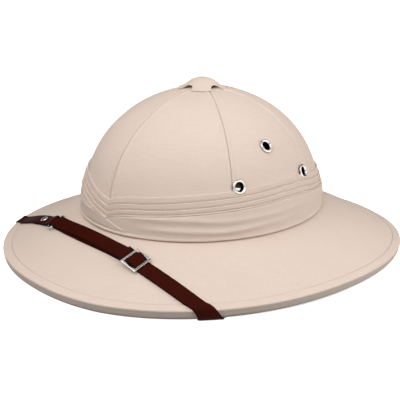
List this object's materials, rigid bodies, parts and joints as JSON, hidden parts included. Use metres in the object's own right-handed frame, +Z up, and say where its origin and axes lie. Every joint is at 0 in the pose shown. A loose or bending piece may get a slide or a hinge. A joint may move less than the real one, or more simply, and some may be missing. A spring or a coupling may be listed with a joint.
{
  "type": "pith helmet",
  "caption": "Cloth-covered pith sun helmet: high domed crown, wide sloping brim, pleated band, vent cap, air eyelets, and a leather chin strap laid over the front of the brim.",
  "frame": {"origin": "the middle of the outline at the level the rim rests on", "axes": "+Z up; the hat's front faces -Y, its back +Y; +X is the wearer's left"},
  "size_m": [0.3152, 0.3616, 0.1482],
  "materials": {
    "sand_cloth": "matt plain-woven cotton, sand coloured",
    "pith": "matt pressed pith under the cloth",
    "strap_leather": "dark red-brown, low sheen",
    "nickel": "polished nickel plate"
  },
  "bodies": {
    "root": {"shell": "pith", "crown_gore_1": "sand_cloth", "crown_gore_2": "sand_cloth", "crown_gore_3": "sand_cloth", "crown_gore_4": "sand_cloth", "crown_gore_5": "sand_cloth", "crown_gore_6": "sand_cloth", "brim_cover": "sand_cloth", "brim_binding": "sand_cloth", "puggaree": "sand_cloth", "vent_cap": "sand_cloth", "eyelet_left_front": "nickel", "eyelet_left_top": "nickel", "eyelet_left_back": "nickel", "eyelet_right_front": "nickel", "eyelet_right_top": "nickel", "eyelet_right_back": "nickel", "strap_long": "strap_leather", "strap_short": "strap_leather", "strap_buckle": "nickel", "strap_ring": "nickel", "strap_rivet": "nickel", "strap_pin_left": "nickel", "strap_pin_right": "nickel"}
  },
  "joints": []
}
